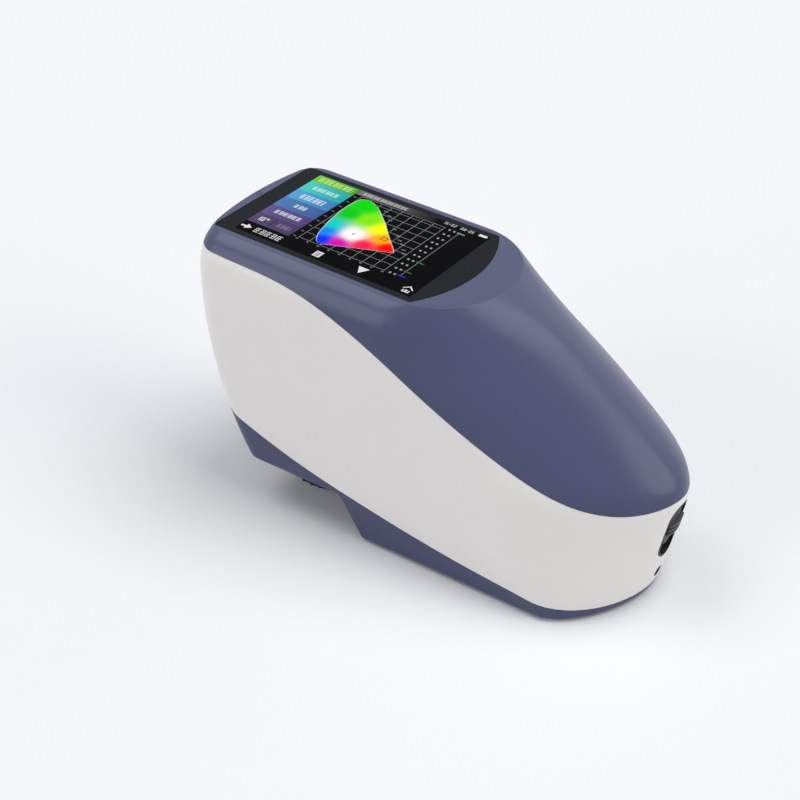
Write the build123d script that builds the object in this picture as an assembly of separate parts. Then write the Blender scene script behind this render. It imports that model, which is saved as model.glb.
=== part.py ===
from build123d import *
from math import atan, atan2, cos, degrees, radians, sin, sqrt, tan
import os

# Hand-held colour spectrophotometer, millimetres.
# +X runs from the measuring head to the tail, +Z is up, and Z = 0 is the
# plane that the foot pads and the measuring collar rest on.

# Overall size of the casing
body_length = 184.0
body_width = 77.0
body_height = 105.0
wall = 2.2
seam_gap = 0.2
fit_gap = 0.3
seat_gap = 0.1

# Casing outline seen from above
head_radius = 130.0
head_corner = 9.0
tail_fullness = 0.44
hood_pinch = 0.15
crest_fullness = 0.26
tip_height = 43.0

# How far the outline draws in: at the foot, and over the last stretch to the crest
foot_setback = 30.0
foot_setback_end = 0.905
foot_tuck = 1.5
foot_tuck_end = 0.29
crest_setback = 3.3
crest_tuck = 8.5
crest_power = 24

# Length of the tail's rounding, greatest part way up
foot_reach = 24.0
full_reach = 58.0
crest_reach = 27.0
full_reach_share = 0.74

# Flat crown that carries the display
crown_start = 2.0
crown_fall = 2.3
crown_thickness = 3.0

# Space under the head and the slanted step down to the foot
head_clearance = 17.0
foot_front = -15.5
step_run = 9.5
floor_round = 2.0
crest_round = 0.6
pad_height = 0.6

# Display
glass_width = 55.4
glass_head_margin = 5.0
glass_length = 84.0
glass_bulge = 8.4
glass_corner = 1.5
glass_thickness = 1.1
tape_thickness = 0.2
tape_width = 1.0
lcd_length = 77.2
lcd_width = 51.8
lcd_thickness = 2.4
lcd_offset = 49.8
tray_thickness = 0.8
tray_depth = 3.6

# Measuring optics
aperture_x = -50.0
sphere_height = 27.0
sphere_radius = 20.0
sphere_wall = 2.0
port_radius = 5.0
neck_radius = 8.0
neck_foot = 2.0
flange_thickness = 2.1
flange_radius = 27.0
nose_radius = 20.0
nose_wall = 1.4
nose_foot = 3.0
collar_wall = 1.2
collar_floor = 1.8
rib_height = 0.9
rib_width = 1.7
rib_count = 36
seat_radius = 11.0
aperture_radius = 4.0
view_tilt = 8.0
view_tube_radius = 6.0
view_tube_length = 5.5
lens_radius = 4.5

# Inner frame and boards
frame_height = 52.0
frame_thickness = 2.2
frame_half_width = 33.6
frame_head_x = -78.0
frame_tail_x = 40.0
leg_radius = 4.0
board_thickness = 1.6
board_height = 86.0
board_length = 72.0
board_width = 52.0
board_x = -40.0
standoff_radius = 2.5
bench_length = 50.0
bench_width = 44.0
bench_height = 21.0
bench_wall = 2.0

# Fasteners
screw_radius = 1.25
screw_head_radius = 2.4
screw_head_height = 1.6
boss_radius = 3.4
case_screw_length = 9.0
small_screw_length = 6.0
small_screw_radius = 1.0
small_head_radius = 1.9
small_head_height = 1.2

# Power slider in the tail
slider_height = 29.5
slider_lean = 11.5
slider_frame_length = 25.0
slider_frame_width = 12.0
slider_rim = 0.9
slider_length = 18.6
slider_travel = 4.0
slider_front_radius = 14.0
slider_sink = 0.5
grip_ribs = 3
grip_pitch = 1.9
grip_thickness = 1.0
grip_rise = 1.3
stem_width = 2.4
stem_length = 7.0

# Charging socket in the tail
socket_height = 9.0
socket_radius = 2.2
socket_bore = 1.75
socket_pin = 0.65
socket_length = 10.0
socket_body_radius = 3.8

# Measuring key in the head end
key_height = 68.0
key_length = 20.0
key_width = 11.0
key_rise = 1.0
key_travel = 1.2
key_depth = 4.0

# Battery bay in the foot
battery_length = 56.0
battery_width = 38.0
battery_depth = 18.0
battery_x = 30.0
door_margin = 3.0
door_ledge = 1.6
door_thickness = 2.0
pad_radius = 4.0

half_length = body_length / 2
half_width = body_width / 2
foot_floor = pad_height + wall
head_floor = head_clearance + wall
nose_inner = nose_radius - nose_wall
collar_inner = nose_radius + fit_gap
collar_outer = collar_inner + collar_wall

hood_rise = body_height - tip_height

# Heights of the casing's outlines as shares of its full height
station_shares = [step / 18 for step in range(17)]
station_shares += [0.928, 0.958, 0.98, 0.992, 1.0]

# Side view of the tail end: distance in from the tail's tip, height.
tail_points = [
    (9.0, 0.0),
    (6.5, 0.23 * tip_height),
    (4.0, 0.51 * tip_height),
    (1.7, 0.77 * tip_height),
    (0.2, 0.98 * tip_height),
    (0.7, tip_height + 0.056 * hood_rise),
    (4.0, tip_height + 0.145 * hood_rise),
    (11.5, tip_height + 0.268 * hood_rise),
    (26.0, tip_height + 0.471 * hood_rise),
    (40.5, tip_height + 0.642 * hood_rise),
    (51.0, tip_height + 0.755 * hood_rise),
    (61.0, tip_height + 0.845 * hood_rise),
    (71.6, tip_height + 0.930 * hood_rise),
]

# Side view of the two seams: distance from the head end, height.
upper_seam_points = [
    (-4.0, tip_height + 0.939 * hood_rise),
    (20.0, tip_height + 0.897 * hood_rise),
    (48.0, tip_height + 0.858 * hood_rise),
    (74.0, tip_height + 0.732 * hood_rise),
    (99.0, tip_height + 0.527 * hood_rise),
    (122.5, tip_height + 0.324 * hood_rise),
    (144.0, tip_height + 0.156 * hood_rise),
    (163.0, tip_height + 0.037 * hood_rise),
    (176.0, tip_height + 0.005 * hood_rise),
    (188.0, tip_height + 0.048 * hood_rise),
]
lower_seam_points = [
    (-4.0, 46.5),
    (12.0, 38.0),
    (24.0, 33.0),
    (50.0, 24.2),
    (77.0, 17.8),
    (103.0, 12.8),
    (128.0, 9.2),
    (148.0, 7.0),
    (162.0, 5.0),
    (188.0, 3.4),
]


def block(x0, x1, y0, y1, z0, z1):
    return Pos((x0 + x1) / 2, (y0 + y1) / 2, (z0 + z1) / 2) * Box(x1 - x0, y1 - y0, z1 - z0)


def rod(x, y, z0, z1, radius):
    return Pos(x, y, (z0 + z1) / 2) * Cylinder(radius, z1 - z0)


def tube(x, y, z0, z1, outer, inner):
    return rod(x, y, z0, z1, outer) - rod(x, y, z0, z1, inner)


# Solid of revolution about a vertical line, from (radius, height) points.
def spun(points, x=0.0):
    profile = make_face(Polyline([(r, 0, z) for r, z in points], close=True))
    return Pos(x, 0, 0) * revolve(profile, Axis.Z)


tail_line = Spline([(half_length - x, 0, z) for x, z in tail_points])


# Where the tail line meets a plane that falls towards the tail.
def tail_meeting(height, fall=0.0):
    low, high = 0.0, 1.0
    for _ in range(40):
        point = tail_line @ ((low + high) / 2)
        if point.Z + fall * (point.X + half_length - crown_start) < height:
            low = (low + high) / 2
        else:
            high = (low + high) / 2
    return point.X


# Setback of the head end at a share of the full height.
def head_setback(share):
    low_part = max(0.0, 1 - share / foot_setback_end)
    return foot_setback * low_part**2.4 + crest_setback * share**crest_power


# Length of the tail's rounding at a share of the full height.
def tail_reach(share):
    if share < full_reach_share:
        return foot_reach + (full_reach - foot_reach) * sin(radians(90) * share / full_reach_share)
    over = (share - full_reach_share) / (1 - full_reach_share)
    return full_reach - (full_reach - crest_reach) * over**3


# One closed outline of the casing at a share of its height. The outlines lie
# flat at the foot and turn evenly until the last one lies along the crown.
def outline_wire(share, inset):
    crest = share**crest_power
    height = share * (body_height - inset / 2)
    fall = tan(radians(crown_fall)) * share
    fullness = tail_fullness - hood_pinch * share**3 + crest_fullness * crest
    tuck = foot_tuck * max(0.0, 1 - share / foot_tuck_end) ** 2 + crest_tuck * crest
    side = half_width - tuck - inset
    head = -half_length + head_setback(share) + inset
    tail = tail_meeting(share * body_height, fall) - inset
    reach = tail_reach(share) - inset
    start = tail - reach
    big = head_radius - inset
    small = head_corner - inset
    centre_y = side - small
    centre_x = head + big - sqrt((big - small) ** 2 - centre_y**2)
    turn = atan2(centre_y, centre_x - head - big)
    middle = (radians(90) + turn) / 2

    def at(x, y):
        return (x, y, height - fall * (x + half_length - crown_start))

    def corner(angle, sign):
        x = centre_x + small * cos(angle)
        return at(x, sign * (centre_y + small * sin(angle)))

    def half_tail(sign):
        return [
            at(start, sign * side),
            at(start + fullness * reach, sign * side),
            at(tail, sign * fullness * side),
            at(tail, 0),
        ]

    def flank(sign):
        middle_x = (start + centre_x) / 2
        return [at(x, sign * side) for x in (start, middle_x, centre_x)]

    def straight(points):
        return [Edge.make_line(a, b) for a, b in zip(points, points[1:])]

    def head_corner_arc(sign):
        return [at(centre_x, sign * side), corner(middle, sign), corner(turn, sign)]

    far, near = 1, -1
    return Wire(
        [
            Edge.make_bezier(*reversed(half_tail(far))),
            *straight(flank(far)),
            Edge.make_three_point_arc(*head_corner_arc(far)),
            Edge.make_three_point_arc(corner(turn, far), at(head, 0), corner(turn, near)),
            Edge.make_three_point_arc(*reversed(head_corner_arc(near))),
            *straight(flank(near)[::-1]),
            Edge.make_bezier(*half_tail(near)),
        ]
    )


# The casing's smooth outer form, or the same form drawn in by an inset.
def casing_form(inset=0.0):
    return Solid.make_loft([outline_wire(share, inset) for share in station_shares])


# Everything under the casing: the space below the head, the step and the foot.
def below_floor(offset=0.0):
    lean = atan(step_run / head_clearance)
    shift = offset / cos(lean)

    def step_x(height):
        return foot_front + shift - tan(lean) * height

    foot = pad_height + offset
    head = head_clearance + offset
    points = [
        (-body_length, -body_height),
        (-body_length, head),
        (step_x(head), head),
        (step_x(foot), foot),
        (body_length, foot),
        (body_length, -body_height),
    ]
    face = make_face(Polyline([(x, 0, z) for x, z in points], close=True))
    return extrude(face, amount=body_width, both=True)


# Everything above a seam, as seen from the side.
def above_seam(points, shift=0.0):
    curve = Spline([(-half_length + x, 0, z + shift) for x, z in points])
    start, end = curve @ 0, curve @ 1
    top = 2 * body_height
    rim = Polyline((end.X, 0, end.Z), (end.X, 0, top), (start.X, 0, top), (start.X, 0, start.Z))
    return extrude(make_face([curve, rim]), amount=body_width, both=True)


# Where the head end of the casing lies at a height.
def head_x(height):
    return -half_length + head_setback(height / body_height)


# Crown frame: local X runs along the crown from its head end, local Z is up.
crown = Location((-half_length + crown_start, 0, body_height), (0, crown_fall, 0))


# Everything above the crown lowered by a depth.
def above_crown(depth):
    size = 2 * body_length
    return crown * Pos(0, 0, size / 2 - depth) * Box(size, size, size)


# Height of the crown above a place along the casing.
def crown_z(x):
    return body_height - tan(radians(crown_fall)) * (x + half_length - crown_start)


# Place of a point of the middle plane in the crown frame: along it and above it.
def in_crown(x, z):
    fall = radians(crown_fall)
    along = x + half_length - crown_start
    rise = z - body_height
    return along * cos(fall) - rise * sin(fall), along * sin(fall) + rise * cos(fall)


# Face frames: local Z points out of the casing. In the tail local X runs up the
# face, in the head end it runs across it.
def tail_frame(height):
    lean = radians(slider_lean)
    return Plane(
        origin=(tail_meeting(height), 0, height),
        x_dir=(sin(lean), 0, cos(lean)),
        z_dir=(cos(lean), 0, -sin(lean)),
    )


def head_frame(height):
    lean = atan((head_x(height - key_width) - head_x(height + key_width)) / (2 * key_width))
    return Plane(origin=(head_x(height), 0, height), x_dir=(0, 1, 0), z_dir=(-cos(lean), 0, -sin(lean)))


# Oblong prism on a face frame, between two depths measured outwards.
def oblong(frame, length, width, low, high, along=0.0):
    slot = Pos(along, 0, low) * SlotOverall(length, width)
    return extrude(frame * slot, amount=high - low, dir=frame.z_dir)


def round_on(frame, radius, low, high, along=0.0, across=0.0):
    return frame * Pos(along, across, (low + high) / 2) * Cylinder(radius, high - low)


def block_on(frame, length, width, low, high, along=0.0, across=0.0):
    return frame * Pos(along, across, (low + high) / 2) * Box(length, width, high - low)


# One screw with its head at z and its shank going up (1) or down (-1).
def screw(x, y, z, length, way, radius=screw_radius, head=screw_head_radius, depth=screw_head_height):
    parts = rod(x, y, min(z, z - way * depth), max(z, z - way * depth), head)
    parts += rod(x, y, min(z, z + way * length), max(z, z + way * length), radius)
    slot = Pos(x, y, z - way * depth) * Box(2.4 * radius, 0.6, depth)
    cross = Pos(x, y, z - way * depth) * Box(0.6, 2.4 * radius, depth)
    return parts - slot - cross


def joined(shapes):
    shapes = list(shapes)
    total = shapes[0]
    for shape in shapes[1:]:
        total += shape
    return total


parts = {}

# Places shared by several pieces
pair = (-1, 1)
leg_spots = [(foot_front + 8.0, sign * 29.5) for sign in pair]
leg_spots += [(half_length - 23.0, sign * 15.0) for sign in pair]
pillar_spots = [(frame_head_x + 4.5, sign * 30.4) for sign in pair]
pillar_spots += [(frame_tail_x - 12.0, sign * 23.0) for sign in pair]
standoff_spots = [
    (board_x + end * (board_length / 2 - 3.0), sign * (board_width / 2 - 3.0))
    for end in pair
    for sign in pair
]
pad_spots = [(end_x, sign * 29.5) for end_x in (foot_front + 21.0, half_length - 37.0) for sign in pair]
door_spots = [(battery_x + end * (battery_length / 2 + 3.0), 0) for end in pair]
nose_spots = [(aperture_x + end * 12.5, sign * 21.8) for end in pair for sign in pair]
flange_spots = [(aperture_x + end * 7.0, sign * 24.0) for end in pair for sign in pair]
leg_foot = pad_height + 5.0
seat_depth = 2.6

# Casing: three shells cut from one form by the two seams
def casing_shells():
    form = casing_form()
    form = fillet(form.faces().sort_by(Axis.Z)[-1].edges(), crest_round)
    outer = form - below_floor()
    under = [e for e in outer.edges() if e.bounding_box().max.Z < head_clearance + seat_gap]
    outer = fillet(under, floor_round)
    cavity = casing_form(wall) - above_crown(crown_thickness) - below_floor(wall)
    shell = outer - cavity
    top = shell & above_seam(upper_seam_points, seam_gap / 2)
    middle = shell - above_seam(upper_seam_points, -seam_gap / 2)
    middle &= above_seam(lower_seam_points, seam_gap / 2)
    base = shell - above_seam(lower_seam_points, -seam_gap / 2)
    return outer, cavity, top, middle, base


outer_form, cavity, top_shell, middle_shell, base_shell = casing_shells()


# Display glass outline on the crown, grown or drawn in by an amount.
def glass_outline(grow=0.0):
    start = glass_head_margin - grow
    end = glass_head_margin + glass_length + grow
    half = glass_width / 2 + grow
    bulge = Edge.make_three_point_arc((end, -half, 0), (end + glass_bulge, 0, 0), (end, half, 0))
    sides = Polyline((end, half, 0), (start, half, 0), (start, -half, 0), (end, -half, 0))
    face = make_face([bulge, sides])
    return fillet(face.vertices(), glass_corner + grow)


def on_crown(face, low, high):
    return crown * Pos(0, 0, low) * extrude(face, amount=high - low)


def lcd_block(grow, low, high):
    size = Box(lcd_length + 2 * grow, lcd_width + 2 * grow, high - low)
    return crown * Pos(lcd_offset, 0, (low + high) / 2) * size


glass_seat = glass_thickness + tape_thickness
lcd_top = glass_seat + seat_gap
lcd_base = lcd_top + lcd_thickness
light_spot = 3.0

# Top cover: display seat and window, light pipe hole, screw pillars
top_cover = top_shell - on_crown(glass_outline(0.15), -glass_seat, 1.0)
top_cover -= lcd_block(0.2, -crown_thickness - 1.0, 1.0)
light_hole = crown * Pos(light_spot, 0, 0) * Cylinder(1.3, 12.0)
top_cover -= light_hole
pillars = joined(
    rod(x, y, frame_height + seat_gap, body_height, boss_radius) for x, y in pillar_spots
)
top_cover += pillars & cavity
tray_screw_spots = [(lcd_offset + end * 24.0, sign * 29.0) for end in pair for sign in pair]
for x, y in pillar_spots:
    top_cover -= rod(x, y, frame_height, frame_height + case_screw_length, screw_radius)
for x, y in tray_screw_spots:
    top_cover -= crown * Pos(x, y, -crown_thickness + 1.0) * Cylinder(small_screw_radius, 2.4)
parts["top_cover"] = top_cover

parts["display_glass"] = on_crown(glass_outline(), -glass_thickness, 0.0)
tape_face = glass_outline() - glass_outline(-tape_width)
parts["display_tape"] = on_crown(tape_face, -glass_seat, -glass_thickness)
parts["lcd_panel"] = lcd_block(0.0, -lcd_base, -lcd_top)

# LCD tray: thin pressed pan with four screw ears under the crown
ear_width = 8.0
tray = lcd_block(seat_gap + tray_thickness, -lcd_base - tray_thickness, -crown_thickness - seat_gap)
tray -= lcd_block(seat_gap, -lcd_base, 1.0)
ear_reach = 30.4
for x, y in tray_screw_spots:
    ear_inner = lcd_width / 2 + seat_gap
    side = 1 if y > 0 else -1
    ear = Box(ear_width, ear_reach - ear_inner, tray_thickness)
    middle_y = side * (ear_inner + ear_reach) / 2
    height = -crown_thickness - seat_gap - tray_thickness / 2
    tray += crown * Pos(x, middle_y, height) * ear
for x, y in tray_screw_spots:
    tray -= crown * Pos(x, y, -crown_thickness) * Cylinder(small_screw_radius + 0.2, 4.0)
tray -= lcd_block(0.0, -lcd_base, 1.0)
parts["lcd_tray"] = tray
parts["tray_screws"] = crown * joined(
    Pos(0, 0, -crown_thickness - seat_gap - tray_thickness)
    * screw(x, y, 0, 2.6, 1, small_screw_radius, small_head_radius, small_head_height)
    for x, y in tray_screw_spots
)

# Power slider in its oblong frame, low in the tail
slider_face = tail_frame(slider_height)
window_length = slider_length + slider_travel + 2 * fit_gap
window_width = slider_frame_width - 2 * slider_rim
slider_width = window_width - 2 * fit_gap
slider_up = slider_travel / 2
frame_floor = 3.2
frame_back = 4.4
switch_back = 12.0
switch_front = switch_back - 3.6
switch_length = 12.0
slot_length = stem_length + slider_travel + 2 * fit_gap
slot_width = stem_width + 2 * fit_gap
leg_reach = slider_frame_length / 2 - 1.6

slider_frame = oblong(slider_face, slider_frame_length, slider_frame_width, -frame_back, 4.0)
slider_frame &= outer_form
slider_frame -= oblong(slider_face, window_length, window_width, -frame_floor, 4.0)
slider_frame -= block_on(slider_face, slot_length, slot_width, -frame_back - 1, 0)
for end in pair:
    slider_frame += block_on(
        slider_face, 2.4, 6.0, -switch_back, -frame_back, end * leg_reach
    )
parts["slider_frame"] = slider_frame


# Round-fronted bar that follows the tail's curve across the slider
def slider_bar(sink, length, along):
    radius = slider_front_radius
    bar = Pos(along, 0, -sink - radius) * Rot(0, 90, 0) * Cylinder(radius, length)
    return slider_face * bar


slider = oblong(slider_face, slider_length, slider_width, -frame_floor + fit_gap, 3.0, slider_up)
slider &= slider_bar(slider_sink, slider_length, slider_up)
for end in pair:
    dish = Pos(slider_up + end * 6.2, 0, 8.0) * Rot(90, 0, 0) * Cylinder(9.6, 2 * window_width)
    slider -= slider_face * dish
for rib in range(grip_ribs):
    along = slider_up + (rib - (grip_ribs - 1) / 2) * grip_pitch
    ridge = slider_bar(-grip_rise + slider_sink, grip_thickness, along)
    ridge &= block_on(slider_face, 2.0, slider_width, -2.5, 3.0, along)
    slider += ridge
slider += block_on(
    slider_face, stem_length, stem_width, -switch_front + 1.0, -frame_floor + fit_gap, slider_up
)
lever_length = 2.0
lever_width = 1.2
slider -= block_on(
    slider_face,
    lever_length + 2 * seat_gap,
    stem_width + 2.0,
    -switch_front,
    -switch_front + 3.0,
    slider_up,
)
parts["power_slider"] = slider
parts["switch_lever"] = block_on(
    slider_face, lever_length, lever_width, -switch_front - 1.0, -switch_front + 2.9, slider_up
)
power_switch = block_on(slider_face, switch_length, 5.0, -switch_back, -switch_front)
power_switch -= block_on(
    slider_face,
    lever_length + slider_travel + 2 * fit_gap,
    lever_width + 2 * fit_gap,
    -switch_front - 1.4,
    0.0,
)
parts["power_switch"] = power_switch
parts["switch_board"] = block_on(
    slider_face, slider_frame_length, slider_frame_width, -switch_back - 1.2, -switch_back
)

# Charging socket under the slider
socket_face = Plane(
    origin=(tail_meeting(socket_height), 0, socket_height), x_dir=(0, 1, 0), z_dir=(1, 0, 0)
)
socket_front = 3.6
socket = round_on(socket_face, socket_radius, -socket_front - 1.0, 2.0) & outer_form
socket += round_on(socket_face, socket_body_radius, -socket_front - socket_length, -socket_front)
socket -= round_on(socket_face, socket_bore, -socket_length, 2.0)
socket += round_on(socket_face, socket_pin, -socket_length - 0.5, -1.6)
parts["charging_socket"] = socket
socket_back = tail_meeting(socket_height) - socket_front - socket_length
socket_floor = socket_height - socket_body_radius
parts["socket_board"] = block(
    socket_back - 2.0, socket_back + socket_length - 2.0, -6.0, 6.0, socket_floor - 1.2, socket_floor
)

# Measuring key in the head end, its switch and board
key_face = head_frame(key_height)
key_hole = 2 * fit_gap
key_flange = 1.4
flange_top = -wall - 1.2
key_base = flange_top - 1.2
plunger_end = -8.4
tact_front = plunger_end + 0.6
tact_back = tact_front - 3.5
key = oblong(key_face, key_length, key_width, key_base, key_rise)
key = fillet(key.faces().sort_by(Axis.X)[0].edges(), 0.7)
key += oblong(key_face, key_length + 2 * key_flange, key_width + 2 * key_flange, key_base, flange_top)
key += round_on(key_face, 1.6, plunger_end + 2.2, key_base)
parts["measure_key"] = key
parts["key_plunger"] = round_on(key_face, 1.2, plunger_end - 1.0, plunger_end + 2.2)
tact = block_on(key_face, 6.0, 6.0, tact_back, tact_front)
tact -= round_on(key_face, 1.2 + 0.1, tact_back + 0.6, 0.0)
parts["key_switch"] = tact
key_board = block_on(key_face, 30.0, 12.0, tact_back - 1.2, tact_back)
parts["key_board"] = key_board
key_post_reach = 13.0
key_posts = joined(
    block_on(key_face, 2.6, 8.0, tact_back, 1.0, end * key_post_reach) for end in pair
)

middle = middle_shell + (key_posts & cavity)
middle -= oblong(key_face, key_length + key_hole, key_width + key_hole, -wall - 4.0, 6.0)
middle -= oblong(
    slider_face,
    slider_frame_length + 2 * seat_gap,
    slider_frame_width + 2 * seat_gap,
    -frame_back - 2.0,
    6.0,
)
middle -= round_on(socket_face, socket_radius + seat_gap, -socket_front, 3.0)
parts["middle_casing"] = middle

# Base cover: screw seats, battery bay with its door recess, nose opening
battery_ends = (battery_x - battery_length / 2, battery_x + battery_length / 2)
battery_half = battery_width / 2
bay_wall = 1.6
bay_top = pad_height + door_thickness + battery_depth + 1.0
door_end = 5.5
pad_recess = 0.8
base = base_shell
for x, y in leg_spots:
    base += rod(x, y, foot_floor - 1.0, leg_foot, leg_radius)
bay_outer = block(
    battery_ends[0] - fit_gap - bay_wall,
    battery_ends[1] + fit_gap + bay_wall,
    -battery_half - fit_gap - bay_wall,
    battery_half + fit_gap + bay_wall,
    foot_floor - 1.0,
    bay_top,
)
bay_rim = block(
    battery_ends[0] - door_end - 1.2,
    battery_ends[1] + door_end + 1.2,
    -battery_half - door_margin - 1.2,
    battery_half + door_margin + 1.2,
    foot_floor - 1.0,
    foot_floor + 3.4,
)
base += bay_outer + bay_rim
base -= block(
    battery_ends[0] - fit_gap,
    battery_ends[1] + fit_gap,
    -battery_half - fit_gap,
    battery_half + fit_gap,
    -1.0,
    bay_top + 1.0,
)


def door_block(grow, low, high):
    return block(
        battery_ends[0] - door_end - grow,
        battery_ends[1] + door_end + grow,
        -battery_half - door_margin - grow,
        battery_half + door_margin + grow,
        low,
        high,
    )


base -= door_block(0.2, -1.0, pad_height + door_thickness + seat_gap)
for x, y in leg_spots:
    base -= rod(x, y, -1.0, pad_height + seat_depth, screw_head_radius + 0.2)
    base -= rod(x, y, 0.0, leg_foot + 1.0, screw_radius + 0.2)
for x, y in door_spots:
    base -= rod(x, y, 0.0, foot_floor + 2.8, small_screw_radius)
for x, y in pad_spots:
    base -= rod(x, y, -1.0, pad_height + pad_recess, pad_radius + seat_gap)
base -= rod(aperture_x, 0, 0.0, head_floor + 1.0, nose_radius + 0.2)
for x, y in nose_spots:
    base -= rod(x, y, 0.0, head_floor + 1.0, small_screw_radius + 0.2)
    base -= rod(x, y, 0.0, head_clearance + small_head_height, small_head_radius + 0.1)
socket_seats = joined(
    block(socket_back - 1.0, socket_back + 1.0, y - 1.5, y + 1.5, foot_floor - 1.0, socket_floor - 1.2)
    for y in (-4.0, 4.0)
)
base += socket_seats
parts["base_cover"] = base

door = door_block(0.0, pad_height, pad_height + door_thickness)
door = fillet(door.edges().filter_by(Axis.Z), 1.0)
for x, y in door_spots:
    door -= rod(x, y, 0.0, 4.0, small_screw_radius + 0.2)
    door -= rod(x, y, 0.0, pad_height + small_head_height, small_head_radius + 0.1)
thumb = Pos(battery_x, 0, pad_height) * Cylinder(6.0, 1.2)
door -= thumb
parts["battery_door"] = door
parts["door_screws"] = joined(
    screw(x, y, pad_height + small_head_height, 3.0, 1, small_screw_radius, small_head_radius, small_head_height)
    for x, y in door_spots
)
parts["foot_pads"] = joined(
    rod(x, y, 0.0, pad_height + pad_recess, pad_radius) for x, y in pad_spots
)
battery = block(*battery_ends, -battery_half, battery_half, pad_height + door_thickness + seat_gap, bay_top - 0.9)
parts["battery_pack"] = fillet(battery.edges().filter_by(Axis.X), 3.0)


# Measuring nose: barrel, twist collar and aperture plate
barrel_base = 24.8
flange_clip = casing_form(wall + fit_gap)
barrel_tube = spun(
    [
        (nose_inner, nose_foot),
        (nose_radius, nose_foot),
        (nose_radius, head_floor + 1.2),
        (nose_inner + 1.0, head_floor + 1.2),
        (nose_inner, 18.6),
    ],
    aperture_x,
)
barrel_flange = spun(
    [
        (nose_inner + 0.9, head_floor + 0.2),
        (flange_radius, head_floor + 0.2),
        (flange_radius, barrel_base),
        (nose_radius + 0.2, barrel_base),
        (nose_radius + 0.2, 21.0),
    ],
    aperture_x,
)
nose_barrel = barrel_tube + (barrel_flange & flange_clip)
lug_height = 5.6
lug_rise = 0.5
lug_half = 0.6
lug = tube(
    aperture_x, 0, lug_height - lug_half, lug_height + lug_half, nose_radius + lug_rise, nose_inner + 0.5
)
lug_blocks = joined(
    Pos(aperture_x, 0, lug_height) * Rot(0, 0, turn) * Pos(nose_radius, 0, 0) * Box(4, 5, 4)
    for turn in (60, 180, 300)
)
nose_barrel += lug & lug_blocks
for x, y in nose_spots:
    nose_barrel -= rod(x, y, head_clearance, head_floor + 4.2, small_screw_radius)
for x, y in flange_spots:
    nose_barrel -= rod(x, y, barrel_base - 4.2, barrel_base + 1.0, small_screw_radius)
parts["nose_barrel"] = nose_barrel
parts["nose_screws"] = joined(
    screw(x, y, head_clearance + small_head_height, 4.6, 1, small_screw_radius, small_head_radius, small_head_height)
    for x, y in nose_spots
)

collar_top = head_clearance - fit_gap
plate_seat = 1.2
aperture_collar = spun(
    [
        (seat_radius + seat_gap, 0.0),
        (collar_outer - 0.8, 0.0),
        (collar_outer, 0.8),
        (collar_outer, collar_top),
        (collar_inner, collar_top),
        (collar_inner, lug_height + lug_half + fit_gap),
        (collar_inner + lug_rise, lug_height + lug_half + fit_gap),
        (collar_inner + lug_rise, lug_height - lug_half - fit_gap),
        (collar_inner, lug_height - lug_half - fit_gap),
        (collar_inner, collar_floor),
        (seat_radius + 1.6, collar_floor),
        (seat_radius + 1.6, plate_seat),
        (seat_radius + seat_gap, plate_seat),
    ],
    aperture_x,
)
rib_shapes = []
for index in range(rib_count):
    turn = 360.0 * index / rib_count
    rib = Cylinder(rib_width / 2, collar_top - 2.4)
    reach = collar_outer + rib_height - rib_width / 2
    rib_shapes.append(
        Pos(aperture_x, 0, collar_top / 2) * Rot(0, 0, turn) * Pos(reach, 0, 0) * rib
    )
aperture_collar = aperture_collar.fuse(*rib_shapes)
parts["aperture_collar"] = aperture_collar
parts["aperture_plate"] = spun(
    [
        (aperture_radius, 0.0),
        (seat_radius, 0.0),
        (seat_radius, plate_seat),
        (seat_radius + 1.5, plate_seat),
        (seat_radius + 1.5, collar_floor),
        (aperture_radius + 1.2, collar_floor),
        (aperture_radius, 0.6),
    ],
    aperture_x,
)

# Integrating sphere in two flanged halves
joint_height = sphere_height
ball = Pos(aperture_x, 0, sphere_height) * Rot(0, 0, 180) * Sphere(sphere_radius)
hollow = Pos(aperture_x, 0, sphere_height) * Sphere(sphere_radius - sphere_wall)
lower_flange = rod(aperture_x, 0, joint_height - flange_thickness, joint_height, flange_radius)
upper_flange = rod(aperture_x, 0, joint_height, joint_height + flange_thickness, flange_radius)
lower_half = block(-half_length, half_length, -half_width, half_width, -1.0, joint_height)
upper_half = block(-half_length, half_length, -half_width, half_width, joint_height, body_height)
neck = rod(aperture_x, 0, neck_foot, sphere_height - sphere_radius + 4.0, neck_radius)
sphere_lower = (ball & lower_half) + (lower_flange & flange_clip) + neck
sphere_lower -= hollow + rod(aperture_x, 0, 0.0, sphere_height, port_radius)
sphere_upper = (ball & upper_half) + (upper_flange & flange_clip)
view_axis = Pos(aperture_x, 0, sphere_height) * Rot(0, view_tilt, 0)
lamp_turn = 58.0
lamp_axis = Pos(aperture_x, 0, sphere_height) * Rot(0, lamp_turn, 0)
lamp_hole = 4.5
lamp_radius = 8.0
lamp_reach = 8.0
sphere_upper -= hollow
sphere_upper -= view_axis * Pos(0, 0, sphere_radius) * Cylinder(port_radius, sphere_radius)
sphere_upper -= lamp_axis * Pos(0, 0, sphere_radius) * Cylinder(lamp_hole, sphere_radius)
for x, y in flange_spots:
    sphere_lower -= rod(x, y, barrel_base, joint_height + 0.1, small_screw_radius + 0.2)
    sphere_upper -= rod(x, y, joint_height - 0.1, joint_height + 4.0, small_screw_radius + 0.2)
parts["sphere_lower"] = sphere_lower
parts["sphere_upper"] = sphere_upper
parts["sphere_screws"] = joined(
    screw(x, y, joint_height + flange_thickness, 7.0, -1, small_screw_radius, small_head_radius, small_head_height)
    for x, y in flange_spots
)

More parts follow.
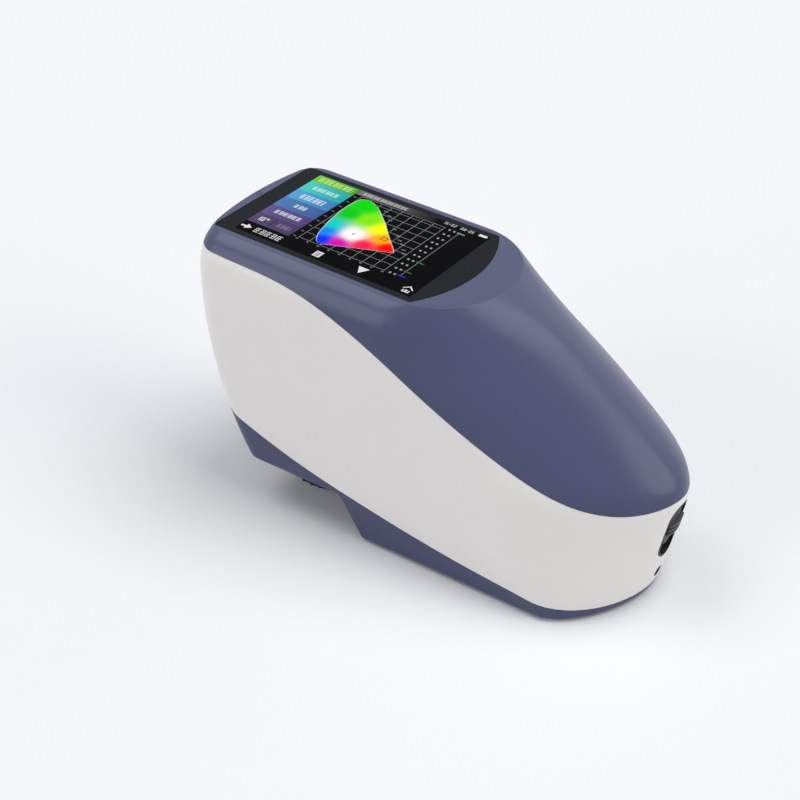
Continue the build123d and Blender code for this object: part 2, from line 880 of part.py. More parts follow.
# Lamp on the sphere's tail side
lamp_start = sphere_radius - 1.6
lamp_housing = Pos(0, 0, lamp_start + lamp_reach / 2) * Cylinder(lamp_radius, lamp_reach)
lamp_housing -= Pos(0, 0, lamp_start) * Cylinder(lamp_hole, 3 * lamp_reach)
lamp_housing = lamp_axis * lamp_housing
lamp_housing -= rod(aperture_x, 0, 0, joint_height + flange_thickness, flange_radius + fit_gap)
parts["lamp_housing"] = lamp_housing - ball
lamp_back = lamp_start + lamp_reach
parts["lamp_board"] = lamp_axis * Pos(0, 0, lamp_back + 0.6) * Cylinder(lamp_radius, 1.2)
led_ring = 2.4
led_height = 1.0
parts["lamp_leds"] = lamp_axis * joined(
    Rot(0, 0, 72.0 * index) * Pos(led_ring, 0, lamp_back - led_height / 2) * Box(1.6, 1.6, led_height)
    for index in range(5)
)

# Viewing tube and lens on top of the sphere
tube_start = sphere_radius - 1.0
view_tube = Pos(0, 0, tube_start + view_tube_length / 2) * (
    Cylinder(view_tube_radius, view_tube_length) - Cylinder(lens_radius, view_tube_length + 1)
)
stop_height = 2.0
stop_ring = Pos(0, 0, tube_start + stop_height) * (
    Cylinder(view_tube_radius, 1.0) - Cylinder(lens_radius - 1.2, 2.0)
)
parts["view_tube"] = view_axis * (view_tube + stop_ring) - ball
lens_edge = 1.2
lens = Cylinder(lens_radius - 0.02, lens_edge)
dome_radius = 9.0
dome_drop = sqrt(dome_radius**2 - lens_radius**2)
lens += (Pos(0, 0, lens_edge / 2 - dome_drop) * Sphere(dome_radius)) & Pos(0, 0, 2.0) * Cylinder(lens_radius - 0.02, 4.0)
parts["lens"] = view_axis * Pos(0, 0, tube_start + stop_height + 0.5 + lens_edge / 2) * lens

# Inner frame with its legs
lead_x = 53.0
power_x = 29.0
power_length = 34.0
power_width = 32.0
power_lift = 3.0
power_spots = [
    (power_x + end * (power_length / 2 - 3.0), sign * (power_width / 2 - 3.0))
    for end in pair
    for sign in pair
]
frame_base = frame_height - frame_thickness
frame_outline = Polyline(
    (frame_head_x, -24.0),
    (frame_head_x + 7.0, -frame_half_width),
    (frame_tail_x - 4.0, -frame_half_width),
    (half_length - 18.0, -18.5),
    (half_length - 18.0, 18.5),
    (frame_tail_x - 4.0, frame_half_width),
    (frame_head_x + 7.0, frame_half_width),
    (frame_head_x, 24.0),
    close=True,
)
inner_frame = Pos(0, 0, frame_base) * extrude(make_face(frame_outline), amount=frame_thickness)
for x, y in leg_spots:
    inner_frame += rod(x, y, leg_foot + seat_gap, frame_base + 0.5, leg_radius)
    inner_frame -= rod(x, y, leg_foot, leg_foot + case_screw_length, screw_radius)
inner_frame -= view_axis * Pos(0, 0, sphere_radius + 6.0) * Cylinder(view_tube_radius + fit_gap, 16.0)
inner_frame -= rod(lead_x, 0, 0, body_height, 4.0)
for x, y in pillar_spots:
    inner_frame -= rod(x, y, 0, body_height, screw_radius + 0.2)
for x, y in standoff_spots:
    inner_frame -= rod(x, y, 0, body_height, small_screw_radius + 0.2)
for x, y in power_spots:
    inner_frame += rod(x, y, frame_height - 1.0, frame_height + power_lift, 2.6)
for x, y in power_spots:
    inner_frame -= rod(x, y, 0, body_height, small_screw_radius)
parts["inner_frame"] = inner_frame & casing_form(wall + 0.6)
long_screws = [(x, y, pad_height + seat_depth) for x, y in leg_spots]
long_screws += [(x, y, frame_base) for x, y in pillar_spots]
parts["long_screws"] = joined(
    screw(x, y, z, case_screw_length, 1) for x, y, z in long_screws
)
parts["standoffs"] = joined(
    rod(x, y, frame_height, board_height, standoff_radius)
    - rod(x, y, frame_height - 1.0, frame_height + 5.0, small_screw_radius)
    - rod(x, y, board_height - 5.0, board_height + 1.0, small_screw_radius)
    for x, y in standoff_spots
)

# Spectrometer: bench, lid, slit, two mirrors, grating and sensor
bench_x = board_x
bench_top = frame_height + bench_height
bench = block(bench_x - bench_length / 2, bench_x + bench_length / 2, -bench_width / 2, bench_width / 2, frame_height, bench_top - bench_wall)
bench_hollow = block(
    bench_x - bench_length / 2 + bench_wall,
    bench_x + bench_length / 2 - bench_wall,
    -bench_width / 2 + bench_wall,
    bench_width / 2 - bench_wall,
    frame_height + bench_wall,
    bench_top,
)
slit_x = aperture_x + tan(radians(view_tilt)) * (frame_height - sphere_height)
bench -= bench_hollow
bench -= view_axis * Pos(0, 0, sphere_radius + 6.0) * Cylinder(view_tube_radius + fit_gap, 16.0)
sensor_half = 7.0
bench -= block(bench_x - sensor_half, bench_x + sensor_half, bench_width / 2 - 2 * bench_wall, half_width, frame_height + 6.0, bench_top - 4.0)
lid = block(bench_x - bench_length / 2, bench_x + bench_length / 2, -bench_width / 2, bench_width / 2, bench_top - bench_wall, bench_top)
lid_spots = [(bench_x + end * (bench_length / 2 - 4), sign * (bench_width / 2 - 4)) for end in pair for sign in pair]
for x, y in lid_spots:
    bench += rod(x, y, frame_height + 1.0, bench_top - bench_wall, 2.6)
    bench -= rod(x, y, frame_height + 8.0, body_height, small_screw_radius)
    lid -= rod(x, y, 0, body_height, small_screw_radius + 0.2)
parts["optics_bench"] = bench
parts["optics_lid"] = lid
short_screws = [(x, y, bench_top, -1) for x, y in lid_spots]
short_screws += [(x, y, frame_base, 1) for x, y in standoff_spots]
parts["short_screws"] = joined(
    screw(x, y, z, small_screw_length, way, small_screw_radius, small_head_radius, small_head_height)
    for x, y, z, way in short_screws
)
optics_floor = frame_height + bench_wall
slit_size = 17.0
slit_thickness = 0.6
slit = Pos(slit_x, 0, optics_floor + slit_thickness / 2) * Box(slit_size, slit_size, slit_thickness)
slit -= Pos(slit_x, 0, optics_floor) * Box(0.4, 4.0, 4.0)
parts["slit_plate"] = slit


# Optical block standing on the bench floor, turned about its upright axis
def optic(x, y, turn, length, thickness, height):
    return Pos(x, y, optics_floor + height / 2) * Rot(0, 0, turn) * Box(thickness, length, height)


mirror_size = 13.0
mirror_x = bench_x + bench_length / 2 - bench_wall - 4.0
fold_size = 11.0
fold_height = optics_floor + 7.6
parts["fold_mirror"] = (
    Pos(slit_x, 0, fold_height) * Rot(0, -45, 0) * Box(1.6, fold_size, fold_size)
)
parts["fold_holder"] = joined(
    block(
        slit_x - 5.0,
        slit_x + 5.0,
        min(sign * fold_size / 2, sign * (fold_size / 2 + 2.0)),
        max(sign * fold_size / 2, sign * (fold_size / 2 + 2.0)),
        optics_floor + slit_thickness,
        optics_floor + 12.0,
    )
    for sign in pair
)
dish = optic(mirror_x, 6.0, -8.0, mirror_size, 3.0, mirror_size)
dish -= Pos(mirror_x - 31.2, 8.0, optics_floor + mirror_size / 2) * Sphere(30.0)
parts["concave_mirror"] = dish
parts["grating"] = optic(bench_x - 2.0, -14.0, 62.0, 12.0, 3.0, 12.0)
sensor_y = bench_width / 2 - bench_wall
parts["sensor_board"] = block(
    bench_x - sensor_half - 6.0, bench_x + sensor_half + 6.0,
    bench_width / 2, bench_width / 2 + 1.2,
    frame_height + 3.0, bench_top - bench_wall,
)
parts["line_sensor"] = block(
    bench_x - sensor_half + 0.5, bench_x + sensor_half - 0.5,
    sensor_y - 0.6, bench_width / 2,
    frame_height + 7.0, bench_top - 5.0,
)


# Main board on its standoffs, with chips, shield can and connectors
board_top = board_height + board_thickness
board = block(
    board_x - board_length / 2, board_x + board_length / 2,
    -board_width / 2, board_width / 2, board_height, board_top,
)
power_base = frame_height + power_lift
power_top = power_base + board_thickness
power_board = block(
    power_x - power_length / 2, power_x + power_length / 2,
    -power_width / 2, power_width / 2, power_base, power_top,
)
for x, y in standoff_spots:
    board -= rod(x, y, 0, body_height, small_screw_radius + 0.2)
for x, y in power_spots:
    power_board -= rod(x, y, 0, body_height, small_screw_radius + 0.2)
parts["main_board"] = board
parts["power_board"] = power_board
board_screws = [(x, y, board_top) for x, y in standoff_spots]
board_screws += [(x, y, power_top) for x, y in power_spots]
parts["board_screws"] = joined(
    screw(x, y, z, small_screw_length - 1.5, -1, small_screw_radius, small_head_radius, small_head_height)
    for x, y, z in board_screws
)


def chip(x, y, length, width, height, z=board_top):
    return block(x - length / 2, x + length / 2, y - width / 2, y + width / 2, z, z + height)


parts["board_chips"] = joined(
    [
        chip(board_x + 6.0, 2.0, 14.0, 14.0, 1.4),
        chip(board_x + 6.0, 17.0, 10.0, 8.0, 1.1),
        chip(board_x - 8.0, 17.0, 8.0, 8.0, 1.1),
        chip(board_x + 20.0, -18.0, 9.0, 5.0, 1.6),
        chip(board_x + 8.0, -18.0, 6.0, 5.0, 1.6),
    ]
)
shield = chip(board_x - 18.0, -6.0, 24.0, 18.0, 3.0)
shield -= chip(board_x - 18.0, -6.0, 23.2, 17.2, 2.6)
parts["board_shield"] = shield
ribbon_width = 18.0
ribbon_thickness = 0.3
connector_front = board_x + board_length / 2 - 4.0
connector_height = 2.4
parts["board_connectors"] = joined(
    [
        chip(connector_front - 3.0, 0, 6.0, ribbon_width + 3.0, connector_height),
        chip(board_x - 22.0, 18.0, 5.0, 10.0, 3.0),
        chip(power_x + power_length / 2 - 4.0, 0, 6.0, 10.0, 5.0, power_top),
    ]
)
parts["power_parts"] = joined(
    [
        chip(power_x - 6.0, -5.0, 10.0, 10.0, 4.5, power_top),
        chip(power_x - 4.0, 8.0, 6.0, 6.0, 1.2, power_top),
        rod(power_x + 5.0, -9.0, power_top, power_top + 7.0, 3.2),
        rod(power_x + 5.0, 9.0, power_top, power_top + 7.0, 3.2),
    ]
)

# Flat ribbon from under the tray round to the main board
ribbon_top = -lcd_base - tray_thickness - ribbon_thickness / 2
connector_middle = board_top + connector_height / 2
ribbon_end, ribbon_low = in_crown(connector_front, connector_middle)
ribbon_turn = ribbon_end + 4.0
bend = (ribbon_top - ribbon_low) / 2
half_ribbon = ribbon_thickness / 2
ribbon = Rot(90, 0, 0) * (
    Cylinder(bend + half_ribbon, ribbon_width) - Cylinder(bend - half_ribbon, 2 * ribbon_width)
)
ribbon &= Pos(bend, 0, 0) * Box(2 * bend, 2 * ribbon_width, 4 * bend)
ribbon = Pos(ribbon_turn, 0, (ribbon_top + ribbon_low) / 2) * ribbon


def ribbon_leg(start, height):
    length = ribbon_turn - start
    middle = Pos(start + length / 2, 0, height)
    return middle * Box(length, ribbon_width, ribbon_thickness)


ribbon += ribbon_leg(lcd_offset, ribbon_top) + ribbon_leg(ribbon_end, ribbon_low)
parts["display_ribbon"] = crown * ribbon

# Battery lead: two wires up through the frame to the power board
wire_radius = 1.1
wire_bend = 3.0
wire_end = power_x + power_length / 2 - 1.0
wire_top = power_top + 3.0
wire_start = bay_top - 0.9
leads = []
for y in (-1.7, 1.7):
    rise = Line((lead_x, y, wire_start), (lead_x, y, wire_top - wire_bend))
    turn = ThreePointArc(
        rise @ 1,
        (
            lead_x - wire_bend * (1 - cos(radians(45))),
            y,
            wire_top - wire_bend * (1 - sin(radians(45))),
        ),
        (lead_x - wire_bend, y, wire_top),
    )
    run = Line(turn @ 1, (wire_end, y, wire_top))
    leads.append(sweep(Plane(rise @ 0, z_dir=(0, 0, 1)) * Circle(wire_radius), Wire([rise, turn, run])))
parts["battery_lead"] = joined(leads)

# Status light pipe, one bent rod from the crown's head end to the main board
pipe_radius = 1.15
pipe_bend = 2.5
pipe_height = board_top + 1.2
pipe_mouth = Plane(crown * Pos(light_spot, 0, 0))
pipe_drop = (pipe_mouth.origin.Z - pipe_height) / pipe_mouth.z_dir.Z
pipe_corner = pipe_mouth.origin - pipe_mouth.z_dir * pipe_drop
pipe_end = (board_x - board_length / 2 - 0.2, 0, pipe_height)
pipe_path = FilletPolyline(pipe_mouth.origin, pipe_corner, pipe_end, radius=pipe_bend)
parts["status_light"] = sweep(pipe_mouth * Circle(pipe_radius), pipe_path)


os.makedirs("parts", exist_ok=True)
for name, shape in parts.items():
    export_step(shape, f"parts/{name}.step")
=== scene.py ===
import math

import bpy
from mathutils import Matrix, Vector

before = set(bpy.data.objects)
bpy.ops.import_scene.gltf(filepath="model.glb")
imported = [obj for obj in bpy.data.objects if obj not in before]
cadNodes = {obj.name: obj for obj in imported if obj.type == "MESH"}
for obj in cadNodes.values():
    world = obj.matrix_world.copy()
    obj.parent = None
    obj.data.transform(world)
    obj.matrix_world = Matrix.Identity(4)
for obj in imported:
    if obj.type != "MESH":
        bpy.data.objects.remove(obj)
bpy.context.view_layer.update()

# Hand-held colour spectrophotometer: finishes, display picture, light and camera.
mm = 0.001
print("frame loaded:", len(cadNodes), "pieces")


def linear(red, green, blue):  # a colour as seen, 0 to 255, turned into light values
    def one(level):
        level = level / 255
        return level / 12.92 if level <= 0.04045 else ((level + 0.055) / 1.055) ** 2.4
    return (one(red), one(green), one(blue), 1.0)


class Wire:  # one socket of a material, ready for arithmetic
    def __init__(self, finish, socket):
        self.finish = finish
        self.socket = socket

    def calc(self, operation, *values):
        return self.finish.node("ShaderNodeMath", {"operation": operation}, values)

    def __add__(self, other):
        return self.calc("ADD", self, other)

    def __sub__(self, other):
        return self.calc("SUBTRACT", self, other)

    def __rsub__(self, other):
        return self.calc("SUBTRACT", other, self)

    def __mul__(self, other):
        return self.calc("MULTIPLY", self, other)

    def __truediv__(self, other):
        return self.calc("DIVIDE", self, other)

    def __rtruediv__(self, other):
        return self.calc("DIVIDE", other, self)

    __radd__ = __add__
    __rmul__ = __mul__

    def within(self, middle, half):  # 1 where the value lies that near the middle
        return self.calc("COMPARE", self, middle, half)

    def over(self, other):  # 1 where the value is the greater
        return self.calc("GREATER_THAN", self, other)

    def orElse(self, other):
        return self.calc("MAXIMUM", self, other)

    def atMost(self, other):
        return self.calc("MINIMUM", self, other)

    def absolute(self):
        return self.calc("ABSOLUTE", self)

    def wrapped(self, pitch):
        return self.calc("WRAP", self, pitch, 0.0)


class Finish:  # a material and its nodes
    def __init__(self, name, **fixed):
        self.material = bpy.data.materials.new(name)
        self.material.use_nodes = True
        self.tree = self.material.node_tree
        self.shader = self.tree.nodes["Principled BSDF"]
        self.set(**fixed)

    def feed(self, socket, value):
        if isinstance(value, Wire):
            self.tree.links.new(value.socket, socket)
        else:
            socket.default_value = value

    def set(self, **values):  # sockets by name, with _ for a space
        for name, value in values.items():
            self.feed(self.shader.inputs[name.replace("_", " ")], value)

    def node(self, kind, settings, values, out=0):
        made = self.tree.nodes.new(kind)
        for name, value in settings.items():
            if name == "stops":
                self.setStops(made.color_ramp, value)
            else:
                setattr(made, name, value)
        pairs = values.items() if isinstance(values, dict) else enumerate(values)
        for key, value in pairs:
            self.feed(made.inputs[key], value)
        return Wire(self, made.outputs[out])

    def setStops(self, ramp, stops):
        while len(ramp.elements) < len(stops):
            ramp.elements.new(0.5)
        for element, (place, level) in zip(ramp.elements, stops):
            element.position = place
            element.color = (level, level, level, 1.0)

    def place(self):
        return self.node("ShaderNodeTexCoord", {}, {}, "Object")

    def noise(self, size, detail=2.0, stretch=(1.0, 1.0, 1.0)):
        place = self.node("ShaderNodeMapping", {}, {"Vector": self.place(), "Scale": stretch})
        values = {"Vector": place, "Scale": 1 / size, "Detail": detail}
        return self.node("ShaderNodeTexNoise", {}, values)

    def bump(self, height, depth, strength=1.0):
        values = {"Height": height, "Distance": depth, "Strength": strength}
        self.set(Normal=self.node("ShaderNodeBump", {}, values))

    def blend(self, share, first, second):
        values = {0: share, 6: first, 7: second}
        return self.node("ShaderNodeMix", {"data_type": "RGBA"}, values, 2)

    def vary(self, colour, roughness, patch, shade, fine, polish):  # shade and gloss that drift
        darker = tuple(level * (1 - shade) for level in colour[:3]) + (1.0,)
        self.set(
            Base_Color=self.blend(self.noise(patch, 3.0), colour, darker),
            Roughness=roughness + (fine - 0.5) * polish,
        )


# Mouldings: satin paint on the hood and base, warm white on the middle casing
mouldings = {
    "grain": 0.35 * mm,
    "grainDepth": 0.004 * mm,
    "cloud": 14 * mm,
    "cloudShade": 0.05,
    "polish": 0.06,
    "navy": linear(66, 72, 103),
    "white": linear(228, 224, 221),
    "dark": linear(40, 42, 46),
    "black": linear(24, 25, 28),
    "grey": linear(66, 69, 70),
}


def moulded(name, colour, roughness, gloss=0.5, coat=0.0, coatRoughness=0.2, grain=1.0):
    finish = Finish(
        name,
        Specular_IOR_Level=gloss,
        Coat_Weight=coat,
        Coat_Roughness=coatRoughness,
    )
    fine = finish.noise(mouldings["grain"])
    cloud, shade = mouldings["cloud"], mouldings["cloudShade"]
    finish.vary(colour, roughness, cloud, shade, fine, mouldings["polish"])
    finish.bump(fine, mouldings["grainDepth"] * grain)
    return finish.material


# Metals with fine drawn lines, and the small inner materials
metals = {
    "line": 0.25 * mm,
    "stretch": (0.06, 1.0, 1.0),
    "patch": 5 * mm,
    "shade": 0.12,
    "polish": 0.16,
    "depth": 0.002 * mm,
}


def metal(name, colour, roughness, drawn=1.0):
    finish = Finish(name, Metallic=1.0)
    line = finish.noise(metals["line"], stretch=metals["stretch"])
    shade, polish = metals["shade"] * drawn, metals["polish"] * drawn
    finish.vary(colour, roughness, metals["patch"], shade, line, polish)
    finish.bump(line, metals["depth"] * drawn)
    return finish.material


inner = {"patch": 3 * mm, "grain": 0.5 * mm, "polish": 0.1, "depth": 0.004 * mm}


def plain(name, colour, roughness, shade=0.12, **more):
    finish = Finish(name, **more)
    fine = finish.noise(inner["grain"])
    finish.vary(colour, roughness, inner["patch"], shade, fine, min(inner["polish"], roughness))
    finish.bump(fine, inner["depth"] * shade)
    return finish.material


# Display: picture behind the glass, in millimetres from its lower left corner
display = {
    "crownStart": -90.0,
    "crownFall": math.radians(2.3),
    "pictureStart": 12.15,
    "width": 75.3,
    "height": 50.2,
    "glow": 1.0,
    "gloss": 0.01,
    "roughness": 0.06,
    # the border's grey is dark print plus a painted reflection of the pale surroundings, since the
    # glass itself reflects almost nothing
    "borderAndReflection": linear(36, 38, 42),
    "off": linear(3, 3, 4),
    "pale": linear(225, 228, 230),
    "dotPitch": 0.66,
    "dotGap": 0.26,
}
letters = {  # strokes of the small print, as shares of its pitch and its height
    "pitch": 1.9,
    "gap": 0.2,
    "uprightPitch": 0.4,
    "upright": 0.3,
    "uprightHalf": 0.07,
    "levelPitch": 0.44,
    "level": 0.06,
    "levelHalf": 0.06,
}
figures = {  # width and pen as shares of the height, and the strokes of each figure
    "wide": 0.5,
    "pen": 0.13,
    "strokes": {"0": "abcdef", "1": "bc", "2": "abged", "5": "afgcd", "6": "afgedc", "8": "abcdefg"},
}


class Picture:  # paints flat shapes on a material, one over another
    def __init__(self, finish):
        self.finish = finish
        place = finish.node("ShaderNodeSeparateXYZ", {}, [finish.place()])
        across = Wire(finish, place.socket.node.outputs[1])
        along = (place - display["crownStart"] * mm) / (mm * math.cos(display["crownFall"]))
        self.x = along - display["pictureStart"]
        self.y = across / mm + display["height"] / 2
        self.colour = display["off"]

    def box(self, x0, y0, x1, y1):
        wide = self.x.within((x0 + x1) / 2, (x1 - x0) / 2)
        return wide * self.y.within((y0 + y1) / 2, (y1 - y0) / 2)

    def boxFrom(self, x, y, edges):  # a box whose edges are given from a point
        x0, y0, x1, y1 = edges
        return self.box(x + x0, y + y0, x + x1, y + y1)

    def ring(self, outer, hole):
        return self.box(*outer) * (1 - self.box(*hole))

    def dotted(self, axis, start):
        return (axis - start).wrapped(display["dotPitch"]).over(display["dotGap"])

    def words(self, x0, x1, y0, y1, pitch=letters["pitch"]):  # marks that read as small print
        tall = y1 - y0
        gaps = (self.x - x0).wrapped(pitch).over(letters["gap"] * pitch)
        upright = (self.x - x0).wrapped(letters["uprightPitch"] * pitch)
        upright = upright.within(letters["upright"] * pitch, letters["uprightHalf"] * pitch)
        level = (self.y - y0).wrapped(letters["levelPitch"] * tall)
        level = level.within(letters["level"] * tall, letters["levelHalf"] * tall)
        return self.box(x0, y0, x1, y1) * gaps * upright.orElse(level)

    def digit(self, figure, x, y, tall):  # one figure of straight strokes
        wide, pen = figures["wide"] * tall, figures["pen"] * tall
        places = {
            "a": (x, y + tall - pen, x + wide, y + tall),
            "b": (x + wide - pen, y + tall / 2, x + wide, y + tall),
            "c": (x + wide - pen, y, x + wide, y + tall / 2),
            "d": (x, y, x + wide, y + pen),
            "e": (x, y, x + pen, y + tall / 2),
            "f": (x, y + tall / 2, x + pen, y + tall),
            "g": (x, y + (tall - pen) / 2, x + wide, y + (tall + pen) / 2),
        }
        mask = None
        for stroke in figures["strokes"][figure]:
            part = self.box(*places[stroke])
            mask = part if mask is None else mask.orElse(part)
        return mask

    def put(self, mask, colour):
        self.colour = self.finish.blend(mask, self.colour, colour)

    def slope(self, x0, x1, first, second):  # colour running from one place to another
        share = ((self.x - x0) / (x1 - x0)).atMost(1.0)
        return self.finish.blend(share, first, second)


column = {  # coloured cells at the left: lower edge, upper edge, first and last colour
    "width": 18.7,
    "cells": [
        (44.8, 50.2, linear(120, 200, 60), linear(70, 165, 40)),
        (36.9, 44.8, linear(75, 205, 190), linear(40, 170, 175)),
        (29.4, 36.9, linear(90, 165, 215), linear(60, 130, 185)),
        (21.9, 29.4, linear(85, 125, 185), linear(60, 95, 150)),
        (14.6, 21.9, linear(100, 85, 140), linear(85, 65, 125)),
        (7.1, 14.6, linear(88, 74, 110), linear(75, 60, 98)),
    ],
    "divider": (8.55, 7.1, 8.85, 14.6),
    "dividerInk": linear(40, 34, 60),
    "lines": [
        (3.6, 15.2, 39.6, 41.9),
        (3.8, 14.6, 31.5, 34.7),
        (6.6, 12.0, 24.6, 26.9),
        (3.6, 15.2, 17.2, 19.6),
    ],
    "lineInk": linear(225, 242, 245),
    "title": (1.6, 17.2, 45.9, 49.1, 2.1),
    "titleInk": linear(205, 240, 165),
    "note": (10.6, 16.6, 9.7, 12.0, 1.7),
    "noteInk": linear(140, 125, 155),
    "angle": [("1", 1.9), ("0", 3.6)],
    "angleFoot": 9.6,
    "angleHeight": 2.6,
    "degree": (5.5, 11.3, 6.5, 12.3),
    "degreeHole": (5.8, 11.6, 6.2, 12.0),
}


def paintColumn(picture):
    wide = column["width"]
    for low, high, first, second in column["cells"]:
        picture.put(picture.box(0, low, wide, high), picture.slope(0, wide, first, second))
    picture.put(picture.box(*column["divider"]), column["dividerInk"])
    for line in column["lines"]:
        picture.put(picture.words(*line), column["lineInk"])
    picture.put(picture.words(*column["title"]), column["titleInk"])
    picture.put(picture.words(*column["note"]), column["noteInk"])
    for figure, start in column["angle"]:
        mask = picture.digit(figure, start, column["angleFoot"], column["angleHeight"])
        picture.put(mask, column["lineInk"])
    picture.put(picture.ring(column["degree"], column["degreeHole"]), column["lineInk"])


bars = {  # title bar along the top, and the way back at the lower left
    "title": (18.9, 46.7, 54.0, 50.2),
    "titleStart": 18.7,
    "titleInks": (linear(122, 116, 118), linear(8, 8, 10)),
    "shaft": (0.6, 2.9, 3.0, 3.9),
    "head": (2.6, 1.6, 5.2, 5.6),
    "headMiddle": 3.6,
    "headLength": 2.4,
    "headSlope": 1.4,
    "back": (6.2, 18.6, 1.9, 5.0, 2.4),
    "backInk": linear(205, 207, 210),
    "name": (21.0, 41.0, 47.6, 49.4, 1.5),
    "nameInk": linear(205, 205, 208),
    "clock": [
        ("1", 56.0), ("6", 57.2), ("0", 59.4), ("2", 60.6),
        ("0", 63.4), ("8", 64.6), ("0", 66.8), ("5", 68.0),
    ],
    "clockFoot": 48.4,
    "clockHeight": 1.6,
    "clockMarks": [
        (58.45, 48.7, 58.8, 49.0),
        (58.45, 49.4, 58.8, 49.7),
        (65.85, 49.05, 66.35, 49.3),
    ],
    "clockInk": linear(205, 210, 212),
    "battery": [(70.9, 48.6, 74.0, 50.0), (74.0, 48.9, 74.4, 49.7)],
}


def paintBars(picture):
    x0, y0, x1, y1 = bars["title"]
    grey = picture.slope(bars["titleStart"], x1, *bars["titleInks"])
    picture.put(picture.box(x0, y0, x1, y1), grey)
    point = picture.x - bars["head"][0]
    spread = (picture.y - bars["headMiddle"]).absolute() * bars["headSlope"]
    head = point.over(0) * (bars["headLength"] - point).over(spread) * picture.box(*bars["head"])
    picture.put(picture.box(*bars["shaft"]).orElse(head), display["pale"])
    picture.put(picture.words(*bars["back"]), bars["backInk"])
    picture.put(picture.words(*bars["name"]), bars["nameInk"])
    for figure, start in bars["clock"]:
        mask = picture.digit(figure, start, bars["clockFoot"], bars["clockHeight"])
        picture.put(mask, bars["clockInk"])
    for mark in bars["clockMarks"]:
        picture.put(picture.box(*mark), bars["clockInk"])
    for part in bars["battery"]:
        picture.put(picture.box(*part), display["pale"])


icons = {  # along the bottom: a list, a wedge that points down, a house
    "list": (32.9, 1.7, 35.9, 5.3),
    "listLines": [(33.5, 2.3, 35.3, 2.7), (33.5, 3.2, 35.3, 3.6), (33.5, 4.1, 35.3, 4.5)],
    "wedge": (50.2, 1.9, 54.8, 5.9),
    "wedgeSlope": 0.56,
    "roof": (69.8, 3.7, 74.0, 5.9),
    "roofHole": (69.8, 3.0, 74.0, 5.2),
    "walls": (70.5, 1.5, 73.3, 4.4),
    "wallsHole": (71.0, 1.9, 72.8, 4.0),
    "door": (71.5, 1.5, 72.3, 3.2),
}


def paintIcons(picture):
    pale, ink = display["pale"], display["off"]

    def beside(edges):  # how far to either side of a box's middle
        return (picture.x - (edges[0] + edges[2]) / 2).absolute()

    def gable(edges):
        return (edges[3] - picture.y).over(beside(edges)) * picture.box(*edges)

    picture.put(picture.box(*icons["list"]), pale)
    for line in icons["listLines"]:
        picture.put(picture.box(*line), ink)
    wedge = icons["wedge"]
    narrow = ((picture.y - wedge[1]) * icons["wedgeSlope"]).over(beside(wedge))
    picture.put(narrow * picture.box(*wedge), pale)
    picture.put(gable(icons["roof"]).orElse(picture.box(*icons["walls"])), pale)
    picture.put(gable(icons["roofHole"]).orElse(picture.box(*icons["wallsHole"])), ink)
    picture.put(picture.box(*icons["door"]), pale)


grid = {  # dotted field behind the diagram, with tick marks beside and under it
    "field": (22.0, 8.8, 58.6, 46.2),
    "pitch": (4.57, 4.45),
    "half": 0.12,
    "ink": linear(168, 170, 172),
    "ticks": 9,
    "sideTick": (-2.4, -0.3, -1.2, 0.2),
    "footTick": (-0.5, -1.3, 0.4, -0.7),
    "tickInk": linear(120, 122, 124),
}


def paintGrid(picture):
    x0, y0, x1, y1 = grid["field"]
    half = grid["half"]
    stepX, stepY = grid["pitch"]
    field = picture.box(x0 - half, y0 - half, x1 + half, y1 + half)
    upright = (picture.x - x0 + half).wrapped(stepX).within(half, half)
    level = (picture.y - y0 + half).wrapped(stepY).within(half, half)
    top = picture.y.within(y1, half)
    dotsX, dotsY = picture.dotted(picture.x, x0), picture.dotted(picture.y, y0)
    lines = (upright * dotsY).orElse(level * dotsX).orElse(top * dotsX)
    picture.put(lines * field, grid["ink"])
    for tick in range(grid["ticks"]):
        side = picture.boxFrom(x0, y0 + tick * stepY, grid["sideTick"])
        foot = picture.boxFrom(x0 + tick * stepX, y0, grid["footTick"])
        picture.put(side.orElse(foot), grid["tickInk"])


